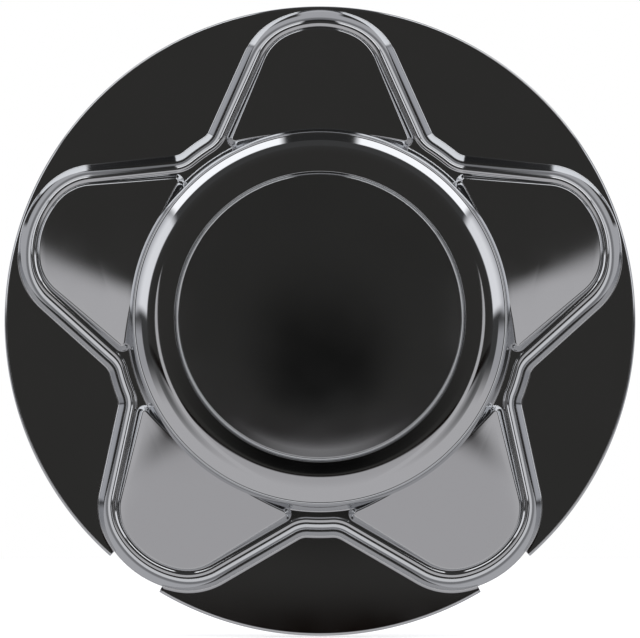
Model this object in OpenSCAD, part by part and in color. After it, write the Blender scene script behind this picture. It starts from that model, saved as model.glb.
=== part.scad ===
// Wheel centre cap: one plated moulding with a round flange, a raised five-lobed
// star over the wheel nuts and a domed hub, a bare disc on the dome, and a ring
// of snap fingers behind with a spring wire inside them.
// The cap stands as it does on a wheel: the wheel axis lies along Y, the front
// faces -Y and one lobe points up. The origin is on the axis, level with the
// crest of the snap fingers. Heights named h are measured forwards from the
// front of the flange, and lengths are in millimetres.

/* [Flange] */
// Outer diameter of the cap
cap_d = 190; // [186:1:196]
// Wall thickness of the moulding
wall_t = 2.5; // [2.2:0.1:2.8]
// How far the turned rim reaches back from the flange's front
rim_depth = 4.5; // [4:0.1:6]
// Width of the turned rim
rim_w = 2; // [1.6:0.1:2.2]
// Radius of the rim's rounded front edge
edge_r = 0.8; // [0.5:0.1:0.9]
// Angle taken out of the rim at each of the two lower lobes
notch_angle = 11; // [8:0.5:12]

/* [Lobes] */
// Distance from a lobe's tip to the edge of the cap
tip_margin = 1.3; // [1.3:0.1:2.5]
// Radius of the blunt end of a lobe
tip_r = 30; // [28:0.5:32]
// Radius of the tighter curve each side of the blunt end
side_r = 20.5; // [19:0.5:22]
// Angle of each straight flank to the lobe's own line
flank_angle = 24; // [23:0.5:25]
// Distance of the straight flanks from the wheel axis
flank_off = 53.5; // [52.5:0.5:54.5]
// Radius of the foot of the star between two lobes
valley_r = 65; // [63:0.5:67]
// Height of the star's raised edge above the flange
crest_h = 4.9; // [4.4:0.1:5.4]
// Width of the raised edge
crest_w = 1.8; // [1.6:0.1:2.2]
// Drop from the raised edge to the channel behind it
channel_drop = 0.45; // [0.3:0.05:0.6]
// Height of a pad above the channel near the lobe's tip
pad_lift = 0.6; // [0.4:0.1:1]
// Slope of the pads down towards the tips
pad_slope = 4.2; // [3.5:0.1:5]
// Distance of a pad's inner edge from the wheel axis
pad_inner = 55.8; // [55.4:0.1:56.2]

/* [Dome] */
// Diameter of the dome where it leaves the channel
dome_d = 112.6; // [112:0.2:113.4]
// Height of the dome's flat top above the flange
dome_h = 12.3; // [11.6:0.1:13]
// Width of the dome's rounded shoulder
shoulder_w = 9.2; // [8.8:0.1:9.6]

/* [Disc] */
// Diameter of the disc on the dome
disc_d = 86; // [84:0.5:87]
// How far the disc's edge stands above the dome
disc_rise = 1.4; // [1:0.1:1.8]
// Crown of the disc's face
disc_crown = 0.5; // [0.3:0.1:0.8]
// Bevel on the disc's edge
disc_bevel = 0.9; // [0.7:0.1:1]
// Depth of the seat for the disc
seat_depth = 0.8; // [0.6:0.1:1]

/* [Snap ring] */
// Diameter of the wheel bore the fingers snap into
bore_d = 87.1; // [86:0.1:88]
// Distance from the flange's front back to the crest of the fingers
crest_depth = 30; // [28:0.5:34]
// Number of snap fingers
fingers = 10; // [8:1:12]
// Width of the slots between the fingers
slot_w = 3; // [2:0.5:4]
// Thickness of a finger
finger_t = 2.2; // [2:0.1:2.4]
// Height of the crest above the finger
barb = 1.5; // [1.2:0.1:1.8]
// Length of the crest's flat land
land = 3; // [2.4:0.2:3.6]
// Diameter of the spring wire inside the fingers
wire_d = 2; // [1.6:0.1:2.4]

/* [Hidden] */

$fn = 120;
lobes = 5;
pitch = 360 / lobes;
half = pitch / 2;
cap_r = cap_d / 2;
edge_cut = edge_r * (1 - sqrt(0.5));
tip_reach = cap_r - tip_margin;

// how far one layer is sunk into the next, so that they join
sink = 0.5;

// the curves that make the foot of the star
tip_c = tip_reach - tip_r;
tip_turn = asin((flank_off - side_r - tip_c * sin(flank_angle)) / (tip_r - side_r))
    - flank_angle;
side_x = (tip_r - side_r) * sin(tip_turn);
side_y = tip_c + (tip_r - side_r) * cos(tip_turn);
lobe_root = 40;
flank_turn = 90 - flank_angle;
valley_turn = flank_turn - acos(flank_off / valley_r);

// the wall of the star, an arc from a steep foot to the raised edge
foot_slope = 56;
top_slope = 40;
crest_round = 0.35;
wall_rad = (crest_h - crest_round) / (cos(top_slope) - cos(foot_slope));
wall_w = wall_rad * (sin(foot_slope) - sin(top_slope));
crest_at = wall_w + crest_w * 0.3;
channel_at = wall_w + crest_w;
channel_h = crest_h - channel_drop;
brink_in = 0.4;
fillet = 0.3;
foot_ledge = 0.5;
hole_r = dome_d / 2 - 1.7;
flange_in = hole_r + 3;
back_in = 1.6;
back_h = channel_h - wall_t;

// the pads and the dome
pad_base = channel_at + 0.1;
pad_rise = 5;
pad_k = tan(60);
pad_r0 = tip_reach - 7;
pad_arc = 130;
dome_r = dome_d / 2;
step_r = dome_r - 0.6;
flat_r = step_r - shoulder_w;
step_h = pad_h(pad_inner) + 0.4;
shoulder_slope = 2 * atan((dome_h - step_h) / shoulder_w);
dome_rad = shoulder_w / sin(shoulder_slope);
dome_foot = channel_h - wall_t - 0.4;
skirt = 0.4;

// the snap ring
crest_r = bore_d / 2;
finger_r = crest_r - barb;
finger_in = finger_r - finger_t;
tail = 4.5;
collar_top = dome_h - wall_t + 0.8;
slot_top = -rim_depth - 1.5;
groove = 0.6;
groove_w = wire_d + 0.1;
wire_r = finger_in + groove - wire_d / 2;
web_t = 2;

// height of a pad's face at radius r
function pad_h(r) = channel_h + pad_lift + (pad_r0 - r) * tan(pad_slope);

// edges of the star's layers, each a list of [distance in from the foot, h]
function arc_pt(s, t) = [wall_rad * sin(foot_slope) - (wall_rad - t) * sin(s),
    (wall_rad - t) * cos(s) - wall_rad * cos(foot_slope)];
wall_edge = concat([[-fillet - sink, -sink]],
    [for (s = [0 : 4]) arc_pt(foot_slope - 2 - (foot_slope - 2 - top_slope) * s / 4, 0)],
    [[crest_at, crest_h]]);
brink_edge = [[channel_at - brink_in, crest_h], [channel_at - brink_in, channel_h]];
back_edge = [[arc_pt(foot_slope, wall_t)[0] - 3 / tan(foot_slope),
        arc_pt(foot_slope, wall_t)[1] - 3],
    [arc_pt(top_slope + 4, wall_t)[0], back_h]];
function pad_edge(e) = [[pad_base + e - 1 / pad_k, channel_h - 1],
    [pad_base + e + pad_rise / pad_k, channel_h + pad_rise]];

// the star's foot as a run of straight lines, each [the way it faces, its distance
// from the wheel axis]: from a lobe's own line round the tip, along the flank and
// through half the valley
function tangents(cx, cy, r, from, to, n) = [for (i = [0 : n - 1])
    let (t = from + (to - from) * (i + 0.5) / n) [t, cx * sin(t) + cy * cos(t) + r]];
lobe_half = concat(tangents(0, tip_c, tip_r, 0, tip_turn, 5),
    tangents(side_x, side_y, side_r, tip_turn, flank_turn, 6), [[flank_turn, flank_off]]);
valley_half = tangents(0, 0, valley_r, valley_turn, half, 4);
function both_sides(h) = concat([for (i = [len(h) - 1 : -1 : 0]) [-h[i][0], h[i][1]]], h);
star_lines = [for (k = [0 : lobes - 1]) for (p = both_sides(concat(lobe_half, valley_half)))
    [k * pitch + p[0], p[1]]];
lobe_lines = concat(both_sides(lobe_half), [[180, -lobe_root]]);

// where two lines meet when both are moved in by d
function corner(p, q, d) = let (a = p[1] - d, b = q[1] - d, s = sin(q[0] - p[0]))
    [(a * cos(q[0]) - b * cos(p[0])) / -s, (a * sin(q[0]) - b * sin(p[0])) / s];
function outline(lines, d) = [for (i = [0 : len(lines) - 1])
    corner(lines[i], lines[(i + 1) % len(lines)], d)];

// a solid whose skin runs through rings of points, one ring after another; the last one is
// joined to the first
module skin(rings) {
    n = len(rings[0]);
    m = len(rings);
    polyhedron(points = [for (r = rings) each r],
        faces = [for (i = [0 : m - 1]) for (j = [0 : n - 1])
            let (a = (i + 1) % m * n, k = (j + 1) % n) [i * n + j, i * n + k, a + k, a + j]]);
}

// a flat ring of points at height h
function level(points, h) = [for (p = points) [p[0], p[1], h]];

// a layer of the star, drawn in from level to level round a hole of radius r
module star(edge, r) {
    skin(concat([for (p = edge) level(outline(star_lines, p[0]), p[1])],
        [for (h = [edge[len(edge) - 1][1], edge[0][1]])
            level([for (p = outline(star_lines, 0)) p * r / norm(p)], h)]));
}

// a prism inside a lobe's lines, with leaning sides, between the two levels of an edge
module lobe(edge) {
    n = len(lobe_lines);
    polyhedron(points = [for (p = edge) each level(outline(lobe_lines, p[0]), p[1])],
        faces = concat([[for (j = [n - 1 : -1 : 0]) j], [for (j = [0 : n - 1]) n + j]],
            [for (j = [0 : n - 1]) let (k = (j + 1) % n) [j, k, n + k, n + j]]));
}

// a pad, its sides moved in by e and its face lowered by drop
module pad(e, drop) {
    intersection() {
        translate([0, 0, -drop]) lobe(pad_edge(e));
        rotate_extrude()
            polygon([[hole_r, channel_h - sink - drop], [cap_r, channel_h - sink - drop],
                [cap_r, pad_h(cap_r) - drop], [hole_r, pad_h(hole_r) - drop]]);
        difference() {
            translate([-cap_r, lobe_root, -pad_rise]) cube([cap_d, cap_r, 4 * pad_rise]);
            translate([0, pad_inner - pad_arc + e, channel_h - 1 - drop])
                cylinder(r1 = pad_arc - (pad_h(pad_inner) - channel_h + 1) / pad_k,
                    r2 = pad_arc + pad_rise / pad_k, h = pad_h(pad_inner) - channel_h + pad_rise + 1);
        }
    }
}

// the flange with its turned rim
module flange() {
    rotate_extrude()
        polygon([[flange_in, 0], [cap_r - edge_r, 0], [cap_r - edge_cut, -edge_cut],
            [cap_r, -edge_r], [cap_r, -rim_depth], [cap_r - rim_w, -rim_depth],
            [cap_r - rim_w, -wall_t], [flange_in, -wall_t]]);
}

// a pad on every lobe
module pads(e, drop) {
    for (k = [0 : lobes - 1]) rotate([0, 0, k * pitch]) pad(e, drop);
}

// the face, hollow behind
module face() {
    difference() {
        difference() {
            union() {
                union() {
                    flange();
                    star(concat(wall_edge, brink_edge), hole_r);
                }
                pads(0, 0);
            }
            star(back_edge, hole_r - 1);
        }
        pads(back_in, wall_t);
    }
}

// the dome with its lower wall, closed on top, and the seat for the disc
module dome() {
    rotate_extrude()
        difference() {
            polygon(concat([[0, dome_h], [0, dome_h - wall_t]],
                [for (s = [0 : 6]) [flat_r, dome_h - dome_rad]
                    + (dome_rad - wall_t) * [sin(shoulder_slope * s / 6), cos(shoulder_slope * s / 6)]],
                [[dome_r - 3, dome_foot], [dome_r, dome_foot], [dome_r, channel_h + skirt],
                 [step_r, step_h]],
                [for (s = [1 : 12]) [flat_r, dome_h - dome_rad]
                    + dome_rad * [sin(shoulder_slope * (12 - s) / 12),
                        cos(shoulder_slope * (12 - s) / 12)]]));
            translate([-1, dome_h - seat_depth]) square([disc_d / 2 + 1.15, 5]);
        }
}

// the collar with its snap fingers, slots and the groove for the wire
module snap_ring() {
    difference() {
        rotate_extrude()
            polygon([[finger_in, collar_top], [finger_in, -crest_depth + groove_w / 2],
                [finger_in + groove, -crest_depth + groove_w / 2],
                [finger_in + groove, -crest_depth - groove_w / 2],
                [finger_in, -crest_depth - groove_w / 2], [finger_in, -crest_depth - tail],
                [finger_r - 0.6, -crest_depth - tail],
                [crest_r, -crest_depth - land / 2], [crest_r, -crest_depth + land / 2],
                [finger_r, -crest_depth + land / 2 + barb], [finger_r, collar_top]]);
        for (i = [0 : fingers - 1])
            rotate([0, 0, (i + 0.5) * 360 / fingers])
                translate([finger_in - 3, -slot_w / 2, -crest_depth - tail - 1])
                    cube([finger_t + 9, slot_w, slot_top + crest_depth + tail + 1]);
    }
}

// a stiffening web behind each valley, from the collar out under the flange
module web() {
    translate([0, web_t / 2, 0])
        rotate([90, 0, 0])
            linear_extrude(web_t)
                polygon([[finger_r - 0.8, collar_top], [flat_r, collar_top],
                    [flat_r + 3.5, collar_top - 1], [step_r - 1.5, step_h - 0.6],
                    [step_r - 1, channel_h - 1], [valley_r - 6, channel_h - 1.2],
                    [valley_r - 1.5, -1], [valley_r + 12, -1.2], [valley_r + 12, -wall_t - 0.6],
                    [valley_r, -rim_depth - 1], [finger_r - 0.8, -rim_depth - 9]]);
}

// takes the rim away round the tip of one lower lobe
module notch() {
    difference() {
        rotate([0, 0, 90 - notch_angle / 2])
            rotate_extrude(angle = notch_angle)
                polygon([[cap_r - rim_w - 0.4, -wall_t], [cap_r - rim_w - 0.4, -rim_depth - 1],
                    [cap_r + 2, -rim_depth - 1], [cap_r + 2, 3], [cap_r - 4, 3], [cap_r - 4, -wall_t]]);
        translate([0, tip_c, -wall_t]) cylinder(r = tip_r + foot_ledge, h = 8, $fn = 240);
    }
}

module place() {
    rotate([90, 0, 0]) translate([0, 0, crest_depth]) children();
}

module cap_shell() {
    color("silver") place() {
        difference() {
            face();
            for (k = [2, 3]) rotate([0, 0, k * pitch]) notch();
        }
        dome();
        for (k = [0 : lobes - 1]) rotate([0, 0, (k + 0.5) * pitch + 90]) web();
        snap_ring();
    }
}

module centre_disc() {
    r = disc_d / 2;
    top = dome_h + disc_rise;
    crown_r = (pow(r - disc_bevel, 2) + pow(disc_crown, 2)) / (2 * disc_crown);
    edge = asin((r - disc_bevel) / crown_r);
    color("gainsboro") place()
        rotate_extrude()
            polygon(concat([[0, dome_h - seat_depth], [r, dome_h - seat_depth],
                [r, top - disc_bevel]],
                [for (s = [0 : 8]) let (t = edge * (1 - s / 8))
                    [crown_r * sin(t), top + disc_crown - crown_r * (1 - cos(t))]]));
}

module retaining_ring() {
    color("dimgray") place() translate([0, 0, -crest_depth])
        rotate([0, 0, 95]) rotate_extrude(angle = 350)
            translate([wire_r, 0]) circle(d = wire_d, $fn = 32);
}

cap_shell();
centre_disc();
retaining_ring();
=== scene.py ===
# %% [markdown]
# # A chrome wheel centre cap
# The real thing is one plastic moulding, plated all over, with a bare disc bonded to its
# dome and a spring wire that keeps its snap fingers pressed out. Chrome has almost no
# colour of its own, so this scene is two lessons: surfaces that are smooth enough to
# mirror a room, and a room that is worth mirroring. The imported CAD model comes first, as
# the frame that every piece is set to.

# %% Frame
import math

import bmesh
import bpy
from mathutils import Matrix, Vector


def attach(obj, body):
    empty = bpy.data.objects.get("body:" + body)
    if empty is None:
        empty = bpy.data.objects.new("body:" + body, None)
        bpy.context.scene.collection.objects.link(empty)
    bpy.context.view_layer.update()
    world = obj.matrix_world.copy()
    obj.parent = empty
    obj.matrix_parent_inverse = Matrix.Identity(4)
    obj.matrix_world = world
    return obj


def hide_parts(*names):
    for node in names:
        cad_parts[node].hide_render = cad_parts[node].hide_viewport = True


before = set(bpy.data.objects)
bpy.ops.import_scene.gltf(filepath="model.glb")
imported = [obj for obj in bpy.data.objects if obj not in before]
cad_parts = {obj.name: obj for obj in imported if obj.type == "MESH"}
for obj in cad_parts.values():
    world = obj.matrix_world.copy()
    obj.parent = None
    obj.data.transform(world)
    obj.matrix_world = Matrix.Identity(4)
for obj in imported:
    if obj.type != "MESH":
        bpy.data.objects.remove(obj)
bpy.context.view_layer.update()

# %% [markdown]
# ## Sizes
# These are the CAD source's own values, in millimetres. The cap is described as its
# moulder would: a distance out from the wheel axis, an angle round it, and a height
# forwards from the front of the flange. One small helper turns those into a place in the
# shared frame, where the axis lies along Y and the front faces -Y.

# %% Sizes and the helper that places a point
MM = 0.001
CREST_DEPTH = 30.0
WALL = 2.5
CAP_R, RIM_W, RIM_DEPTH, EDGE_R = 95.0, 2.0, 4.5, 0.8
TIP_REACH, TIP_R, SIDE_R = 93.7, 30.0, 20.5
TIP_C = TIP_REACH - TIP_R
FLANK_ANGLE, FLANK_OFF, VALLEY_R = 24.0, 53.5, 65.0
CORNER_R = 5.0
CHANNEL_H, CHANNEL_AT = 4.45, 5.9
PAD_BASE, PAD_INNER, PAD_ARC = 6.0, 55.8, 130.0
PAD_LIFT, PAD_SLOPE, PAD_R0 = 0.6, 4.2, 86.7
DOME_R, STEP_R, FLAT_R, DOME_H = 56.3, 55.7, 46.5, 12.3
DISC_R, SEAT_DEPTH, DISC_RISE = 43.0, 0.8, 1.4
FINGER_R, FINGER_IN, CREST_R, WIRE_R = 42.05, 39.85, 43.55, 39.45
LOBES, PITCH, NOTCH = 5, 72.0, 5.5


def spot(r, azimuth, h):
    """The point r mm out at that azimuth in degrees, h mm in front of the flange."""
    a = math.radians(azimuth)
    return Vector((r * math.cos(a), -(h + CREST_DEPTH), r * math.sin(a))) * MM


def from_lobe(azimuth):
    """How far an azimuth is from the nearest lobe's line, in degrees, and that lobe's number."""
    turn = (azimuth - 90.0) / PITCH
    return abs(turn - round(turn)) * PITCH, round(turn) % LOBES


print("flange front at y =", round(spot(0, 0, 0).y, 4))

# %% [markdown]
# ## The outline of the star
# A lobe ends in a wide curve with a tighter one each side, then runs in along straight
# flanks. A small hollow turns each flank into the round valley between two lobes. Every
# layer of the star is this outline moved in by some distance, so it is written once, as
# the outline's distance from the axis along a ray. A ray meets each curve in one point,
# which is the positive root of a circle's equation.

# %% Outline of the star along a ray
SIDE_TURN = math.asin((FLANK_OFF - SIDE_R - TIP_C * math.sin(math.radians(FLANK_ANGLE)))
                      / (TIP_R - SIDE_R)) - math.radians(FLANK_ANGLE)
SIDE_C = Vector(((TIP_R - SIDE_R) * math.sin(SIDE_TURN), TIP_C + (TIP_R - SIDE_R) * math.cos(SIDE_TURN)))
FLANK_TURN = math.radians(90 - FLANK_ANGLE)
HOLLOW_C = VALLEY_R + CORNER_R
HOLLOW_TURN = FLANK_TURN - math.acos((FLANK_OFF + CORNER_R) / HOLLOW_C)


def reach(far, turn, radius, a, sign=1):
    """Where a ray at angle a meets a circle whose centre is far out at angle turn."""
    across = far * math.sin(a - turn)
    return far * math.cos(a - turn) + sign * math.sqrt(max(radius ** 2 - across ** 2, 0))


def star(a_deg, d):
    """Distance from the axis of the star's outline moved in by d, a_deg from a lobe's line."""
    a = math.radians(a_deg)
    tip_end = math.atan2((TIP_R - d) * math.sin(SIDE_TURN), TIP_C + (TIP_R - d) * math.cos(SIDE_TURN))
    side_end = math.atan2(SIDE_C.x + (SIDE_R - d) * math.sin(FLANK_TURN),
                          SIDE_C.y + (SIDE_R - d) * math.cos(FLANK_TURN))
    flank_end = math.atan2(HOLLOW_C * math.sin(HOLLOW_TURN) - (CORNER_R + d) * math.sin(FLANK_TURN),
                           HOLLOW_C * math.cos(HOLLOW_TURN) - (CORNER_R + d) * math.cos(FLANK_TURN))
    if a < tip_end:
        return reach(TIP_C, 0, TIP_R - d, a)
    if a < side_end:
        return reach(SIDE_C.length, math.atan2(SIDE_C.x, SIDE_C.y), SIDE_R - d, a)
    if a < flank_end:
        return (FLANK_OFF - d) / math.cos(FLANK_TURN - a)
    if a < HOLLOW_TURN:
        return reach(HOLLOW_C, HOLLOW_TURN, CORNER_R + d, a, -1)
    return VALLEY_R - d


print("star reaches", round(star(0, 0), 1), "mm at a lobe and", round(star(36, 0), 1), "mm in a valley")

# %% [markdown]
# ## Drawing a skin from ring to ring
# A lathe can't make a star, but the same idea works: a skin is drawn as a row of rings
# round the axis, each extruded from the last and then put in its place. Each ring is a
# rule that gives radius and height at an angle. The first ring comes from create_circle
# and the rest from extrude_edge_only, which copies the ray number stored on every vertex,
# so a new vertex knows which ray it is on. Chrome shows every facet, so there are many
# rays, and flats get a second ring close to each bend, which keeps the bend's shading
# off them.

# %% Helper that draws a skin through rings
RAYS_PER_LOBE = 156


def ray_azimuths():
    """Azimuths of the rays, with two of them close together at each end of the rim's notches."""
    step = PITCH / RAYS_PER_LOBE
    near = int(NOTCH / step)
    angles = []
    for lobe in range(LOBES):
        for i in range(-RAYS_PER_LOBE // 2, RAYS_PER_LOBE // 2):
            a = i * step
            if abs(i) == near:
                a = math.copysign(NOTCH - 0.03, a)
            if abs(i) == near + 1:
                a = math.copysign(NOTCH + 0.03, a)
            angles.append(90.0 + lobe * PITCH + a)
    return angles


def draw_skin(bm, azimuths, rings, face_slot=None):
    """Draws one skin through rings, each a rule from (azimuth) to (radius, height)."""
    ray = bm.verts.layers.int["ray"]
    verts = bmesh.ops.create_circle(bm, segments=len(azimuths), radius=MM)["verts"]
    edges = list({e for v in verts for e in v.link_edges})
    ordered = sorted(verts, key=lambda v: math.atan2(v.co.y, v.co.x))
    for number, v in enumerate(ordered):
        v[ray] = number
    for number, rule in enumerate(rings):
        if number:
            made = bmesh.ops.extrude_edge_only(bm, edges=edges)["geom"]
            verts = [g for g in made if isinstance(g, bmesh.types.BMVert)]
            edges = [g for g in made if isinstance(g, bmesh.types.BMEdge)
                     and g.verts[0] in set(verts) and g.verts[1] in set(verts)]
            if face_slot is not None:
                for g in made:
                    if isinstance(g, bmesh.types.BMFace):
                        g.material_index = face_slot(number)
        for v in verts:
            azimuth = azimuths[v[ray]]
            r, h = rule(azimuth)
            v.co = spot(r, azimuth, h)
    return edges


# %% [markdown]
# ## The bends of the face
# Seen in section, the star's wall leaves the flange through a tiny hollow, rises as a long
# arc that eases from 56 degrees to 40, rolls over a rounded edge and drops by less than
# half a millimetre into a channel. A bend is written as a run of small steps that turn
# from one slope to the next. Adding up the steps gives the section's points, each a
# distance in from the outline and a height.

# %% The section of the star's wall
def bend(start, radius, slopes, steps):
    """Points of a section that turns through the slopes, in degrees, on that radius."""
    first, last = (math.radians(s) for s in slopes)
    sign = 1 if last > first else -1
    points, (x0, h0) = [], start
    for i in range(1, steps + 1):
        s = first + (last - first) * i / steps
        points.append((x0 + sign * radius * (math.sin(s) - math.sin(first)),
                       h0 - sign * radius * (math.cos(s) - math.cos(first))))
    return points


def wall_section():
    """Points (distance in from the outline, height) from the flange to the channel."""
    points = [(-1.1, 0.0), (-0.42, 0.0)]
    points += bend(points[-1], 0.55, (0, 56), 5)
    points += bend(points[-1], 20.7, (56, 40), 8)
    points += bend(points[-1], 1.1, (40, 0), 6)
    points += bend(points[-1], 1.1, (0, -35), 5)
    points += bend(points[-1], 0.75, (-35, 0), 4)
    return points


WALL_SECTION = wall_section()
print("the wall's section ends", [round(c, 2) for c in WALL_SECTION[-1]], "mm in and up")

# %% [markdown]
# ## Rules for the rings
# Three kinds of ring are enough. A round ring has one radius. A star ring follows the
# outline at some distance in. A mixed ring lies part of the way between two others, and
# fills the flats. At the tips of the two lower lobes the rim is broken: there every
# ring stops just outside the star's foot, and nothing reaches further back than
# the flange's own wall.

# %% Ring rules
BROKEN_LOBES = (2, 3)
EDGE_LIMIT = CAP_R - EDGE_R - 0.04


def at_notch(azimuth, r, h):
    """Keeps a ring out of the places where the rim is broken."""
    a, lobe = from_lobe(azimuth)
    if lobe in BROKEN_LOBES and a < NOTCH:
        return min(r, star(a, -0.24)), max(h, -WALL)
    return r, h


def round_ring(r, h):
    return lambda azimuth: at_notch(azimuth, r, h)


def star_ring(d, h):
    return lambda azimuth: at_notch(azimuth, min(star(from_lobe(azimuth)[0], d), EDGE_LIMIT), h)


def mixed_ring(first, second, share):
    def rule(azimuth):
        (r0, h0), (r1, h1) = first(azimuth), second(azimuth)
        return r0 + (r1 - r0) * share, h0 + (h1 - h0) * share
    return rule


def between(first, second, count):
    """Rings that fill a flat, with one close to each side of it."""
    shares = [0.02] + [i / (count + 1) for i in range(1, count + 1)] + [0.98]
    return [mixed_ring(first, second, s) for s in shares]


# %% [markdown]
# ## The front skin
# From the middle outwards: the seat for the disc, the flat ring round it, the dome's
# rounded shoulder, a wall that steepens to its foot, the channel, the star's wall, the
# flange and the turned rim. The same list then runs on over the back, so that the moulding is one closed
# shell with a real wall thickness.

# %% Rings of the front
SHOULDER_SLOPE = 39.0


def dome_section():
    """Points (radius, height) of the shoulder, which bends slowly at first and then faster."""
    points, (r, h), steps = [(FLAT_R, DOME_H)], (FLAT_R, DOME_H), 24
    width = (STEP_R - 0.18 - FLAT_R) / steps
    for i in range(steps - 1):
        slope = math.radians(SHOULDER_SLOPE * ((i + 0.5) / steps) ** 1.5)
        r, h = r + width, h - width * math.tan(slope)
        points.append((r, h))
    return points


def pad_h(r):
    return CHANNEL_H + PAD_LIFT + (PAD_R0 - r) * math.tan(math.radians(PAD_SLOPE))


def under_pad(rule):
    """Lifts a ring of the channel's floor where a pad covers it, so the wall stays even."""
    def lifted(azimuth):
        r, h = rule(azimuth)
        a = from_lobe(azimuth)[0]
        inner = reach(PAD_ARC - PAD_INNER, math.pi, PAD_ARC, math.radians(a))
        cover = min(star(a, PAD_BASE + 2.4) - r, r - inner - 1.2) / 1.5
        return r, h + (pad_h(r) - 1.2 - h) * min(max(cover, 0), 1)
    return lifted


def step_section(start):
    """Points (radius, height) of the steep wall under the shoulder, and its small hollow."""
    points, (r, h) = [], start
    for rise, slope in ((0.35, 42), (0.4, 48), (0.5, 56), (0.7, 64), (0.9, 70)):
        r, h = r + rise / math.tan(math.radians(slope)), h - rise
        points.append((r, h))
    foot_r = r + (h - CHANNEL_H - 0.3) / math.tan(math.radians(74))
    points += [(foot_r, CHANNEL_H + 0.3), (foot_r + 0.12, CHANNEL_H + 0.09), (foot_r + 0.3, CHANNEL_H)]
    return points + [(foot_r + 0.5, CHANNEL_H)]


DOME_SECTION = dome_section()
SEAT_R = DISC_R + 0.15
FRONT = [round_ring(2, DOME_H - SEAT_DEPTH), round_ring(20, DOME_H - SEAT_DEPTH),
         round_ring(SEAT_R - 0.2, DOME_H - SEAT_DEPTH), round_ring(SEAT_R, DOME_H - SEAT_DEPTH),
         round_ring(SEAT_R, DOME_H - 0.14), round_ring(SEAT_R + 0.05, DOME_H - 0.04),
         round_ring(SEAT_R + 0.16, DOME_H), round_ring(SEAT_R + 0.3, DOME_H),
         round_ring((SEAT_R + FLAT_R) / 2, DOME_H)]
FRONT += [round_ring(r, h) for r, h in DOME_SECTION]
FRONT += [round_ring(r, h) for r, h in step_section(DOME_SECTION[-1])]
FRONT += [under_pad(rule) for rule in between(FRONT[-1], star_ring(*WALL_SECTION[-1]), 14)]
FRONT += [star_ring(d, h) for d, h in reversed(WALL_SECTION)]
FRONT += between(FRONT[-1], round_ring(EDGE_LIMIT, 0), 5)
FRONT += [round_ring(EDGE_LIMIT, 0)]
FRONT += [round_ring(CAP_R - EDGE_R * (1 - math.sin(t)), -EDGE_R * (1 - math.cos(t)))
          for t in (math.radians(18 * i) for i in range(6))]
RIM_BACK = len(FRONT)
print("rings on the front:", RIM_BACK)

# %% [markdown]
# ## The back skin
# Behind, the wall follows the front at a distance of 2.5 mm, as a moulding does to cool
# evenly, so every lobe is a hollow and every pad a deeper one. The back runs from the rim
# in to the underside of the dome's top, where the shell closes.

# %% Rings of the back
CEILING_H = DOME_H - WALL
BACK_SECTION = [(1.1, -WALL), (1.35, -WALL), (1.75, -1.95), (2.1, -1.4), (2.9, -0.25), (3.8, 0.85),
                (4.6, 1.7), (4.85, 1.9), (5.2, 1.95)]
PAD_BACK = PAD_BASE + 1.6


def pad_back_ring(share, inset):
    """A ring across the hollow behind a pad, from its outer edge at 0 to its inner edge at 1."""
    def rule(azimuth):
        a = from_lobe(azimuth)[0]
        outer = star(a, PAD_BACK + inset)
        inner = reach(PAD_ARC - PAD_INNER, math.pi, PAD_ARC + 1.6 + inset, math.radians(a))
        if inner >= outer - 0.2:
            return max(star(a, PAD_BACK) - share * 1.2, DOME_R - 1.5 * share), CHANNEL_H - WALL
        r = outer + (inner - outer) * share
        return r, pad_h(r) - WALL if inset else CHANNEL_H - WALL
    return rule


BACK = [round_ring(CAP_R, -RIM_DEPTH + 0.3), round_ring(CAP_R - 0.09, -RIM_DEPTH + 0.09),
        round_ring(CAP_R - 0.3, -RIM_DEPTH), round_ring(CAP_R - RIM_W + 0.2, -RIM_DEPTH),
        round_ring(CAP_R - RIM_W, -RIM_DEPTH + 0.2), round_ring(CAP_R - RIM_W, -WALL - 0.3),
        round_ring(CAP_R - RIM_W - 0.1, -WALL - 0.1), round_ring(CAP_R - RIM_W - 0.3, -WALL)]
BACK += between(round_ring(CAP_R - RIM_W - 0.35, -WALL), star_ring(*BACK_SECTION[0]), 2)
BACK += [star_ring(d, h) for d, h in BACK_SECTION]
BACK += [pad_back_ring(0, 0), pad_back_ring(0, 0.6), pad_back_ring(0.33, 0.6), pad_back_ring(0.67, 0.6),
         pad_back_ring(1, 0.6), pad_back_ring(1, 0)]
BACK += [round_ring(DOME_R - 1.7, CHANNEL_H - WALL), round_ring(DOME_R - 2.6, CHANNEL_H - WALL + 0.2),
         round_ring(DOME_R - 2.9, CHANNEL_H - WALL + 0.9), round_ring(53.6, 6.2), round_ring(52.0, 7.4),
         round_ring(50.0, 8.7), round_ring(48.2, 9.45), round_ring(46.6, CEILING_H),
         round_ring(30, CEILING_H), round_ring(2, CEILING_H)]


def close_pole(bm, edges):
    """Fills the last ring and gathers the fill on one point in its middle."""
    face = bmesh.ops.contextual_create(bm, geom=edges)["faces"]
    bmesh.ops.poke(bm, faces=face)


def as_piece(bm, name, slot, *nodes):
    """Turns a bmesh into a finished piece that rides on the cap and stands for CAD nodes."""
    bmesh.ops.remove_doubles(bm, verts=bm.verts, dist=0.001 * MM)
    bmesh.ops.recalc_face_normals(bm, faces=bm.faces)
    mesh = bpy.data.meshes.new(name)
    bm.to_mesh(mesh)
    triangles = sum(len(f.verts) - 2 for f in bm.faces)
    bm.free()
    mesh.shade_smooth()
    piece = bpy.data.objects.new(name, mesh)
    bpy.context.scene.collection.objects.link(piece)
    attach(piece, "root")
    if nodes:
        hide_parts(*nodes)
    print(name, "has", triangles, "triangles")
    return piece


# %% [markdown]
# ## The pads
# Inside each lobe stands a flat pad with sloping sides, low at the tip and higher towards
# the dome. Its edge follows the outline's three curves, then turns a small corner into a
# bowed inner edge. Rings round the wheel axis would cut its corners into steps, so a pad
# is drawn round its own edge: loops climb its side, roll over and close in on its middle.

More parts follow.
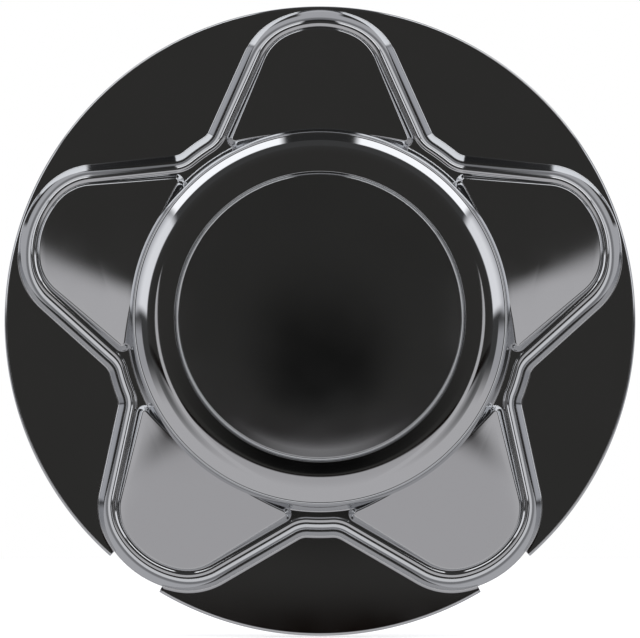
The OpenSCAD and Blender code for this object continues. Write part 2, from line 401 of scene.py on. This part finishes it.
# %% Edge of a pad, as points with the way each faces
PAD_SIDE = math.tan(math.radians(60))
PAD_CORNER_R, PAD_ROLL_R, PAD_FOOT = 2.4, 0.5, 0.16
PAD_BASE_ARC = PAD_ARC - 1.8


def facing(degrees):
    return Vector((math.cos(math.radians(degrees)), math.sin(math.radians(degrees))))


def arc_of_points(centre, radius, start, end, steps):
    return [(centre + facing(start + (end - start) * i / steps) * radius,
             facing(start + (end - start) * i / steps)) for i in range(steps + 1)]


def pad_edge():
    """Points on the right half of a pad's foot, from the lobe's tip to its inner edge."""
    off = FLANK_OFF - PAD_BASE - PAD_CORNER_R
    below = PAD_ARC - PAD_INNER
    across, along = facing(FLANK_ANGLE), facing(FLANK_ANGLE + 90)
    b = 2 * below * along.y
    c = off ** 2 + below ** 2 + 2 * below * off * across.y - (PAD_BASE_ARC + PAD_CORNER_R) ** 2
    corner = across * off + along * ((-b + math.sqrt(b * b - 4 * c)) / 2)
    arc_centre = Vector((0, -below))
    inward = (arc_centre - corner).normalized()
    last = math.degrees(math.atan2(inward.y, inward.x))
    side_turn = math.degrees(SIDE_TURN)
    edge = arc_of_points(Vector((0, TIP_C)), TIP_R - PAD_BASE, 90, 90 - side_turn, 9)
    edge += arc_of_points(SIDE_C, SIDE_R - PAD_BASE, 90 - side_turn, FLANK_ANGLE, 9)[1:]
    flank = (edge[-1][0], corner + across * PAD_CORNER_R)
    edge += [(flank[0].lerp(flank[1], i / 12), across) for i in range(1, 12)]
    edge += arc_of_points(corner, PAD_CORNER_R, FLANK_ANGLE, last, 14)
    turn = math.degrees(math.atan2(corner.y - arc_centre.y, corner.x))
    for i in range(1, 13):
        way = facing(turn + (90 - turn) * i / 12)
        edge.append((arc_centre + way * PAD_BASE_ARC, -way))
    return edge


def whole_edge():
    half = pad_edge()
    mirrored = [(Vector((-p.x, p.y)), Vector((-n.x, n.y))) for p, n in reversed(half[1:-1])]
    return half + mirrored


PAD_EDGE = whole_edge()
print("points round a pad:", len(PAD_EDGE))


# %% [markdown]
# A loop of the pad is a rule as well: how far in from the foot, and at what height. The
# side's length depends on how tall the pad is at that place, so each point first asks for
# the height of the face above it.

# %% Drawing the pads
def pad_levels():
    """Steps up a pad's side: (share of the side climbed, roll over the edge in degrees)."""
    return [("foot", -0.34), ("foot", -0.14), ("side", 0.0), ("side", 0.5), ("side", 1.0),
            ("roll", 15), ("roll", 30), ("roll", 45), ("roll", 56), ("top", 0.18)]


def pad_place(point, way, level):
    """Where a point of the pad's edge lies at one level, as (x, y, h) in the lobe's own frame."""
    kind, amount = level
    roll = math.radians(60)
    roll_in, roll_up = PAD_ROLL_R * math.sin(roll), PAD_ROLL_R * (1 - math.cos(roll))
    inset, h = 0.0, 0.0
    for _ in range(3):
        place = point - way * inset
        rise = pad_h(place.length) - CHANNEL_H - PAD_FOOT - roll_up
        side_in = rise / PAD_SIDE
        if kind == "foot":
            inset, h = amount, CHANNEL_H + (0.03 if amount > -0.2 else -0.06)
        elif kind == "side":
            inset, h = side_in * amount, CHANNEL_H + PAD_FOOT + rise * amount
        elif kind == "roll":
            s = roll - math.radians(amount)
            inset = side_in + PAD_ROLL_R * (math.sin(roll) - math.sin(s))
            h = CHANNEL_H + PAD_FOOT + rise + PAD_ROLL_R * (math.cos(s) - math.cos(roll))
        else:
            inset = side_in + roll_in + amount
            h = pad_h((point - way * inset).length)
    place = point - way * inset
    return place.x, place.y, h


PAD_MIDDLE, PAD_SKIN = 71.0, 0.6


def draw_pad(bm, lobe):
    """Draws the pad of one lobe and closes it on its middle."""
    turn = math.radians(lobe * PITCH)
    order = bm.verts.layers.int["ray"]
    made = bmesh.ops.create_circle(bm, segments=len(PAD_EDGE), radius=MM)["verts"]
    verts = sorted(made, key=lambda v: -math.atan2(v.co.y, v.co.x))
    for number, v in enumerate(verts):
        v[order] = number
    edges = list({e for v in verts for e in v.link_edges})
    loops = [("under", s) for s in (0.2, 0.6, 0.94)] + [("level", level) for level in pad_levels()]
    loops += [("over", s) for s in (0.9, 0.8, 0.7, 0.6, 0.5, 0.4, 0.3, 0.2, 0.1, 0.04)]
    for number, (kind, amount) in enumerate(loops):
        if number:
            grown = bmesh.ops.extrude_edge_only(bm, edges=edges)["geom"]
            verts = [g for g in grown if isinstance(g, bmesh.types.BMVert)]
            fresh = set(verts)
            edges = [g for g in grown if isinstance(g, bmesh.types.BMEdge) and set(g.verts) <= fresh]
        for v in verts:
            point, way = PAD_EDGE[v[order]]
            if kind == "level":
                x, y, h = pad_place(point, way, amount)
            else:
                rim_x, rim_y, h = pad_place(point, way, ("top", 0.18))
                x, y = rim_x * amount, PAD_MIDDLE + (rim_y - PAD_MIDDLE) * amount
                h = pad_h(math.hypot(x, y)) - (PAD_SKIN if kind == "under" else 0)
            v.co = spot(math.hypot(x, y), math.degrees(math.atan2(y, x) + turn), h)
        if number == 0:
            start = edges
    close_pole(bm, edges)
    close_pole(bm, start)


# %% [markdown]
# ## The moulding's face
# Front and back are drawn in one go, then the pads are set on the channel's floor and
# sunk a few hundredths of a millimetre into it, so no gap can show.

# %% Build the face
AZIMUTHS = ray_azimuths()


def build_face():
    bm = bmesh.new()
    bm.verts.layers.int.new("ray")
    edges = draw_skin(bm, AZIMUTHS, FRONT + BACK, lambda number: 0 if number < RIM_BACK else 1)
    close_pole(bm, edges)
    close_pole(bm, [e for e in bm.edges if e.is_boundary])
    for lobe in range(LOBES):
        draw_pad(bm, lobe)
    return as_piece(bm, "cap_face", "chrome_plate", "cap_shell")


face = build_face()

# %% [markdown]
# ## Behind the dome
# A collar stands on the dome's underside and is slit into ten springy fingers with a
# barb near their ends. One finger's section is spun through its own angle, and the
# rest are turned copies. The collar above the slits is the same section spun all the
# way round. Five webs tie the collar to the flange.

# %% Collar, fingers and webs
SLOT_ANGLE = math.degrees(3.0 / 41.0)
SLOT_TOP = -RIM_DEPTH - 1.5
FINGERS = 10
FINGER_SECTION = [(FINGER_IN, SLOT_TOP + 0.4), (FINGER_IN, -28.95), (FINGER_IN + 0.6, -28.95),
                  (FINGER_IN + 0.6, -31.05), (FINGER_IN, -31.05), (FINGER_IN, -34.3),
                  (FINGER_IN + 0.2, -34.5), (FINGER_R - 0.8, -34.5), (FINGER_R - 0.55, -34.35),
                  (CREST_R - 0.12, -31.65), (CREST_R, -31.4), (CREST_R, -28.6),
                  (CREST_R - 0.12, -28.35), (FINGER_R + 0.06, -27.0), (FINGER_R, -26.8),
                  (FINGER_R, SLOT_TOP + 0.4)]
COLLAR_SECTION = [(FINGER_IN, CEILING_H + 0.4), (FINGER_IN, SLOT_TOP), (FINGER_R, SLOT_TOP),
                  (FINGER_R, CEILING_H - 0.5), (FINGER_R + 0.5, CEILING_H + 0.02),
                  (FINGER_R + 0.5, CEILING_H + 0.4)]
WEB_T = 2.0
WEB_SECTION = [(FINGER_R - 0.8, CEILING_H + 0.6), (46.5, CEILING_H + 0.6), (50.0, CEILING_H - 0.6),
               (53.8, 6.8), (54.6, 3.4), (59.0, 3.2), (63.5, -1.0), (77.0, -1.2), (77.0, -3.1),
               (VALLEY_R, -RIM_DEPTH - 1), (FINGER_R - 0.8, -RIM_DEPTH - 9)]


def spin_section(bm, section, azimuth, sweep, steps, whole=False):
    """Spins a section, given as (radius, height) points, round the wheel axis."""
    verts = [bm.verts.new(spot(r, azimuth, h)) for r, h in section]
    profile = bm.faces.new(verts)
    geom = [profile] + list(profile.edges) + verts
    bmesh.ops.spin(bm, geom=geom, cent=(0, 0, 0), axis=(0, -1, 0), dvec=(0, 0, 0),
                   angle=math.radians(sweep), steps=steps, use_merge=whole)
    if whole:
        bm.faces.remove(profile)


def build_collar():
    bm = bmesh.new()
    spin_section(bm, COLLAR_SECTION, 0, 360, 120, whole=True)
    for i in range(FINGERS):
        middle = 90 + 360 / FINGERS * i
        sweep = 360 / FINGERS - SLOT_ANGLE
        spin_section(bm, FINGER_SECTION, middle - sweep / 2, sweep, 12)
    return as_piece(bm, "snap_fingers", "chrome_plate", "cap_shell")


def build_webs():
    bm = bmesh.new()
    for lobe in range(LOBES):
        azimuth = 54 + PITCH * lobe
        verts = [bm.verts.new(spot(r, azimuth, h)) for r, h in WEB_SECTION]
        side = bm.faces.new(verts)
        across = Vector((-math.sin(math.radians(azimuth)), 0, math.cos(math.radians(azimuth))))
        bmesh.ops.translate(bm, verts=verts, vec=across * WEB_T / 2 * MM)
        grown = bmesh.ops.extrude_face_region(bm, geom=[side])["geom"]
        bmesh.ops.translate(bm, verts=[g for g in grown if isinstance(g, bmesh.types.BMVert)],
                            vec=across * -WEB_T * MM)
    return as_piece(bm, "stiffening_webs", "chrome_plate", "cap_shell")


collar = build_collar()
webs = build_webs()

# %% [markdown]
# ## The disc
# The disc is where a badge would sit, and stays bare. It is a separate pressing, bonded
# into its seat: a straight edge, a bevel a little under a millimetre wide that catches the
# light as a ring, and a face that rises by half a millimetre to its middle, most of it
# near the edge. Its rings use the same helper as the moulding.

# %% Build the disc
DISC_TOP, DISC_BEVEL, DISC_CROWN = DOME_H + DISC_RISE, 0.9, 0.5


def disc_rings():
    edge = DISC_R - DISC_BEVEL
    points = [(2, DOME_H - SEAT_DEPTH), (DISC_R - 1, DOME_H - SEAT_DEPTH),
              (DISC_R - 0.1, DOME_H - SEAT_DEPTH), (DISC_R, DOME_H - SEAT_DEPTH + 0.1),
              (DISC_R, DISC_TOP - DISC_BEVEL - 0.06), (DISC_R - 0.02, DISC_TOP - DISC_BEVEL),
              (DISC_R - 0.08, DISC_TOP - DISC_BEVEL + 0.08), (edge + 0.1, DISC_TOP - 0.09),
              (edge + 0.02, DISC_TOP - 0.03), (edge - 0.08, DISC_TOP + 0.002), (edge - 0.2, DISC_TOP + 0.006)]
    for i in range(1, 20):
        r = (edge - 0.2) * (1 - i / 20)
        points.append((r, DISC_TOP + DISC_CROWN * (1 - (r / edge) ** 4)))
    return [lambda azimuth, p=p: p for p in points]


def build_disc():
    bm = bmesh.new()
    bm.verts.layers.int.new("ray")
    azimuths = [360 * i / 256 for i in range(256)]
    last = draw_skin(bm, azimuths, disc_rings())
    close_pole(bm, last)
    close_pole(bm, [e for e in bm.edges if e.is_boundary])
    return as_piece(bm, "bare_disc", "disc_chrome", "centre_disc")


disc = build_disc()

# %% [markdown]
# ## The spring wire
# A ring of two-millimetre wire lies in the groove inside the fingers and pushes them
# out into the wheel's bore. A small circle is spun most of the way round, which leaves
# the gap that lets the ring be squeezed to fit it. Its cut ends get a slight bevel.

# %% Build the wire
def build_wire():
    bm = bmesh.new()
    start, sweep = 95.0, 350.0
    made = bmesh.ops.create_circle(bm, segments=24, radius=MM, cap_ends=True)["verts"]
    way, up = spot(1, start, -CREST_DEPTH), Vector((0, -1, 0))
    centre = spot(WIRE_R, start, -CREST_DEPTH)
    for v in made:
        x, y = v.co.x, v.co.y
        v.co = centre + way.normalized() * x + up * y
    bmesh.ops.spin(bm, geom=list(bm.faces) + list(bm.edges) + made, cent=(0, 0, 0), axis=(0, -1, 0),
                   dvec=(0, 0, 0), angle=math.radians(sweep), steps=180)
    caps = [f for f in bm.faces if len(f.verts) > 4]
    rims = list({e for f in caps for e in f.edges})
    bmesh.ops.bevel(bm, geom=rims, offset=0.25 * MM, segments=3, profile=0.5, affect="EDGES", material=-1)
    return as_piece(bm, "spring_wire", "spring_steel", "retaining_ring")


wire = build_wire()
for piece in (collar, webs, wire):
    piece.data.set_sharp_from_angle(angle=math.radians(28))

# %% [markdown]
# ## Chrome
# Chrome plate on plastic is a thin, very smooth metal film. It is a shade darker and
# cooler than silver, so its base colour is a cool grey, and its roughness is low. Real
# plating is never perfectly flat: it follows faint waves left by the mould. A soft, large
# noise drives a very weak bump, and a finer one varies the roughness by a hair. The
# back of such a part gets less metal and stays duller, so it has a material of its own.

# %% Helpers for materials
def new_material(name, colour, metallic, roughness):
    """A material with its shader's uniform values set on the sockets."""
    material = bpy.data.materials.new(name)
    material.use_nodes = True
    shader = material.node_tree.nodes["Principled BSDF"]
    shader.inputs["Base Color"].default_value = (*colour, 1)
    shader.inputs["Metallic"].default_value = metallic
    shader.inputs["Roughness"].default_value = roughness
    return material, material.node_tree, shader


def link(tree, source, target):
    tree.links.new(source, target)


def noise(tree, scale, detail=2.0, stretch=(1, 1, 1)):
    """Noise on the piece's own coordinates, which stay with the surface."""
    place = tree.nodes.new("ShaderNodeTexCoord")
    turn = tree.nodes.new("ShaderNodeMapping")
    turn.inputs["Scale"].default_value = stretch
    texture = tree.nodes.new("ShaderNodeTexNoise")
    texture.inputs["Scale"].default_value = scale
    texture.inputs["Detail"].default_value = detail
    link(tree, place.outputs["Object"], turn.inputs["Vector"])
    link(tree, turn.outputs["Vector"], texture.inputs["Vector"])
    return texture.outputs["Fac"]


def ranged(tree, value, low, high):
    """The value, taken from 0.3..0.7 to low..high."""
    node = tree.nodes.new("ShaderNodeMapRange")
    node.inputs["From Min"].default_value = 0.3
    node.inputs["From Max"].default_value = 0.7
    node.inputs["To Min"].default_value = low
    node.inputs["To Max"].default_value = high
    link(tree, value, node.inputs["Value"])
    return node.outputs["Result"]


def bumped(tree, shader, value, distance, strength=1.0):
    node = tree.nodes.new("ShaderNodeBump")
    node.inputs["Distance"].default_value = distance
    node.inputs["Strength"].default_value = strength
    link(tree, value, node.inputs["Height"])
    link(tree, node.outputs["Normal"], shader.inputs["Normal"])


def chrome(name, colour, roughness, spread, wave):
    material, tree, shader = new_material(name, colour, 1.0, roughness)
    link(tree, ranged(tree, noise(tree, 55), roughness - spread, roughness + spread),
         shader.inputs["Roughness"])
    bumped(tree, shader, noise(tree, 24, 1.0), wave)
    return material


# %% [markdown]
# The front's plate is a true mirror. The disc is a shade darker and softer, and the wire
# is bare steel with a fine grain. The face takes two materials, front and back.

# %% Materials of the cap
plate = chrome("chrome_plate_front", (0.62, 0.63, 0.645), 0.045, 0.015, 0.00002)
back_plate = chrome("chrome_plate_back", (0.50, 0.505, 0.515), 0.24, 0.06, 0.00008)
disc_plate = chrome("disc_chrome", (0.50, 0.51, 0.52), 0.09, 0.015, 0.00001)
steel, steel_tree, steel_shader = new_material("brushed_spring_steel", (0.46, 0.45, 0.44), 1.0, 0.34)
link(steel_tree, ranged(steel_tree, noise(steel_tree, 900, 3.0), 0.26, 0.44),
     steel_shader.inputs["Roughness"])

for piece, materials in ((face, (plate, back_plate)), (collar, (back_plate,)), (webs, (back_plate,)),
                         (disc, (disc_plate,)), (wire, (steel,))):
    for material in materials:
        piece.data.materials.append(material)
print("materials:", [m.name for m in bpy.data.materials])

# %% [markdown]
# ## The room that the chrome mirrors
# A product photographer hangs black cloth round the camera, so that flat chrome turns
# dark, and lets white card in from the sides and behind, so that curved chrome gets
# bright edges. The world does the same with angles. Each direction is given as its angle
# off the cap's axis, its height and its turn to the side, and a few soft steps
# say where the cloth ends. Diffuse light ignores all that and comes from a plain, pale
# room. The camera itself sees a white backdrop.

# %% World
def math_node(tree, operation, *values):
    """A Math node whose inputs are numbers or sockets."""
    node = tree.nodes.new("ShaderNodeMath")
    node.operation = operation
    for socket, value in zip(node.inputs, values):
        if isinstance(value, (int, float)):
            socket.default_value = value
        else:
            link(tree, value, socket)
    return node.outputs["Value"]


def step(tree, value, start, end):
    """A soft step from 0 at start to 1 at end."""
    node = tree.nodes.new("ShaderNodeMapRange")
    node.interpolation_type = "SMOOTHSTEP"
    for name, limit in (("From Min", start), ("From Max", end)):
        if isinstance(limit, (int, float)):
            node.inputs[name].default_value = limit
        else:
            link(tree, limit, node.inputs[name])
    link(tree, value, node.inputs["Value"])
    return node.outputs["Result"]


def mixed(tree, share, first, second):
    """Mixes two colours, each a triple or a socket."""
    node = tree.nodes.new("ShaderNodeMix")
    node.data_type = "RGBA"
    for socket, value in ((node.inputs[0], share), (node.inputs[6], first), (node.inputs[7], second)):
        if isinstance(value, tuple):
            socket.default_value = (*value, 1)
        elif isinstance(value, (int, float)):
            socket.default_value = value
        else:
            link(tree, value, socket)
    return node.outputs[2]


def degrees_of(tree, value):
    return math_node(tree, "MULTIPLY", value, 180 / math.pi)


world = bpy.data.worlds.new("photo_room")
bpy.context.scene.world = world
world.use_nodes = True
room = world.node_tree
background = room.nodes["Background"]
direction = room.nodes.new("ShaderNodeTexCoord").outputs["Generated"]
parts = room.nodes.new("ShaderNodeSeparateXYZ")
link(room, direction, parts.inputs[0])
to_right, to_back, up = parts.outputs
off_axis = degrees_of(room, math_node(room, "ARCCOSINE", math_node(room, "MULTIPLY", to_back, -1)))
height = degrees_of(room, math_node(room, "ARCSINE", up))
sideways = degrees_of(room, math_node(room, "ARCTAN2", math_node(room, "ABSOLUTE", to_right),
                                      math_node(room, "MULTIPLY", to_back, -1)))
round_axis = degrees_of(room, math_node(room, "ARCTAN2", up, math_node(room, "ABSOLUTE", to_right)))

# %% [markdown]
# Straight ahead hangs the cloth, with a darker hole for the lens just above the axis and
# the floor's horizon below. A pale stand leans at each side, and its slanted top is the
# bright edge across the two side pads.

# %% Straight ahead
CLOTH, CLOTH_LOW, LENS_HOLE = (0.037, 0.036, 0.034), (0.006, 0.004, 0.003), (0.003, 0.003, 0.003)
DIM, PALE, SIDE_CARD = (0.06, 0.06, 0.06), (0.58, 0.57, 0.58), (1.05, 1.05, 1.08)
CARD, CEILING = (1.5, 1.5, 1.52), (0.03, 0.03, 0.03)


def within(tree, value, low, high, soft):
    """1 where the value lies between two limits, with soft ends."""
    return math_node(tree, "MULTIPLY", step(tree, value, low - soft, low + soft),
                     step(tree, value, high + soft, high - soft))


floor_shade = mixed(room, step(room, height, -6, -32), (0.50, 0.49, 0.50), PALE)
side_floor = mixed(room, step(room, height, -3, -30), (0.08, 0.08, 0.08), PALE)
floor_shade = mixed(room, step(room, sideways, 13, 26), floor_shade, side_floor)
cloth = mixed(room, step(room, height, -1.5, -0.7), CLOTH_LOW, CLOTH)
cloth = mixed(room, step(room, off_axis, 14, 60), cloth, DIM)
lens_rise = math_node(room, "SUBTRACT", height, 2.2)
from_lens = math_node(room, "SQRT", math_node(room, "ADD", math_node(room, "MULTIPLY", sideways, sideways),
                                              math_node(room, "MULTIPLY", lens_rise, lens_rise)))
cloth = mixed(room, step(room, from_lens, 0.9, 2.9), LENS_HOLE, cloth)
ahead = mixed(room, step(room, height, -3.0, -4.6), cloth, floor_shade)
near_floor = math_node(room, "MULTIPLY", step(room, height, -1.9, -4.2), step(room, sideways, 6.5, 3.5))
ahead = mixed(room, near_floor, ahead, floor_shade)
stand_top = math_node(room, "SUBTRACT", height, math_node(room, "MULTIPLY", sideways, 0.85))
stand = math_node(room, "MULTIPLY", within(room, sideways, 9.6, 14.6, 0.5),
                  step(room, stand_top, -3.6, -5.0))
ahead = mixed(room, stand, ahead, PALE)

# %% [markdown]
# To the sides the room goes round the axis like a clock: a dark ceiling, bright cards above
# each shoulder, softer card at the sides and the floor below.

# %% Sides of the room
upper = mixed(room, within(room, round_axis, 7, 38, 2), DIM, SIDE_CARD)
upper_far = mixed(room, within(room, round_axis, 5, 38, 2), DIM, (0.6, 0.6, 0.63))
upper = mixed(room, step(room, off_axis, 53, 78), upper, upper_far)
middle = mixed(room, step(room, round_axis, -8, -26), upper, PALE)
outer = mixed(room, within(room, round_axis, 39, 79, 1.5), upper, CARD)
outer = mixed(room, step(room, round_axis, 5, -2), outer, (0.45, 0.45, 0.47))
outer = mixed(room, step(room, round_axis, -10, -24), outer, PALE)
outer = mixed(room, step(room, round_axis, 79, 82), outer, CEILING)
edge_line = mixed(room, step(room, round_axis, 79, 82), (0.80, 0.80, 0.82), CEILING)
seen = mixed(room, step(room, off_axis, 33, 37), ahead, middle)
seen = mixed(room, step(room, off_axis, 51, 54), seen, outer)
seen = mixed(room, step(room, off_axis, 76, 79), seen, CLOTH)
seen = mixed(room, step(room, off_axis, 83.5, 85), seen, edge_line)
seen = mixed(room, step(room, off_axis, 90, 92), seen, (0.24, 0.24, 0.25))
seen = mixed(room, step(room, off_axis, 95, 99), seen, (0.52, 0.52, 0.54))
foot_gap = math_node(room, "MULTIPLY", within(room, round_axis, 21, 79, 2),
                     within(room, off_axis, 108, 126, 1.5))
seen = mixed(room, step(room, off_axis, 114, 124), seen, (1.0, 1.0, 1.02))
seen = mixed(room, foot_gap, seen, CLOTH)

# %% [markdown]
# Mirror rays see that room. The camera sees plain white, and all other light comes from an
# even, pale room.

# %% Which rays see the room
rays = room.nodes.new("ShaderNodeLightPath").outputs
mirrored = math_node(room, "MAXIMUM", rays["Is Glossy Ray"], rays["Is Transmission Ray"])
ROOM_LIGHT = (0.72, 0.73, 0.75)
colour = mixed(room, mirrored, ROOM_LIGHT, seen)
colour = mixed(room, rays["Is Camera Ray"], colour, (1.0, 1.0, 1.0))
link(room, colour, background.inputs["Color"])
background.inputs["Strength"].default_value = 1.0
print("the room has", len(room.nodes), "nodes")

# %% [markdown]
# ## Floor, lamps and camera
# The cap stands on its edge on a pale floor. The camera is a metre in front and a little
# below the cap's middle, and looks slightly up at it with a long lens, because the
# photograph shows the underside of the dome's step and hardly any perspective. Two large
# lamps give the floor a soft shadow; their own mirror images are left out of the chrome,
# where the room already has its white cards.

# %% Floor
def build_floor():
    bm = bmesh.new()
    bmesh.ops.create_grid(bm, x_segments=1, y_segments=1, size=3.0)
    bmesh.ops.translate(bm, verts=bm.verts, vec=(0, 0.9, FLOOR_Z))
    mesh = bpy.data.meshes.new("studio_floor")
    bm.to_mesh(mesh)
    bm.free()
    floor = bpy.data.objects.new("studio_floor", mesh)
    bpy.context.scene.collection.objects.link(floor)
    return floor


FLOOR_Z, FLOOR_GLOW = -CAP_R * MM - 0.0002, 0.45
floor = build_floor()
floor.visible_glossy = False
pale, pale_tree, pale_shader = new_material("pale_floor", (0.78, 0.78, 0.785), 0.0, 0.6)
pale_rays = pale_tree.nodes.new("ShaderNodeLightPath").outputs
pale_shader.inputs["Emission Color"].default_value = (1, 1, 1, 1)
link(pale_tree, math_node(pale_tree, "MULTIPLY", pale_rays["Is Camera Ray"], FLOOR_GLOW),
     pale_shader.inputs["Emission Strength"])
link(pale_tree, mixed(pale_tree, noise(pale_tree, 3.0), (0.77, 0.77, 0.775), (0.79, 0.79, 0.795)),
     pale_shader.inputs["Base Color"])
floor.data.materials.append(pale)


# %% [markdown]
# The lens is long and the tilt small: both were set so that the outline and the shift of
# the raised disc agree with the photograph.

# %% Lamps and camera
def aim(thing, target):
    thing.rotation_euler = (Vector(target) - thing.location).to_track_quat("-Z", "Y").to_euler()


def soft_lamp(name, place, size, watts):
    lamp = bpy.data.lights.new(name, "AREA")
    lamp.shape, lamp.size, lamp.energy = "SQUARE", size, watts
    holder = bpy.data.objects.new(name, lamp)
    holder.location = place
    bpy.context.scene.collection.objects.link(holder)
    aim(holder, (0, -0.03, 0))
    holder.visible_glossy = False
    return holder


soft_lamp("soft_left", (-1.1, -0.5, 1.5), 1.0, 9)
soft_lamp("soft_right", (1.2, -0.2, 1.4), 1.0, 7)

DISTANCE, BELOW, LENS = 1.0, 3.8, 187.0
camera_data = bpy.data.cameras.new("camera")
camera_data.sensor_width = 36
camera_data.lens = LENS
camera = bpy.data.objects.new("camera", camera_data)
AIM = Vector((0, -CREST_DEPTH * MM, 0))
tilt = math.radians(BELOW)
camera.location = AIM + Vector((0, -math.cos(tilt), -math.sin(tilt))) * DISTANCE
aim(camera, AIM)
bpy.context.scene.collection.objects.link(camera)
bpy.context.scene.camera = camera
bpy.context.scene.view_settings.view_transform = "Standard"
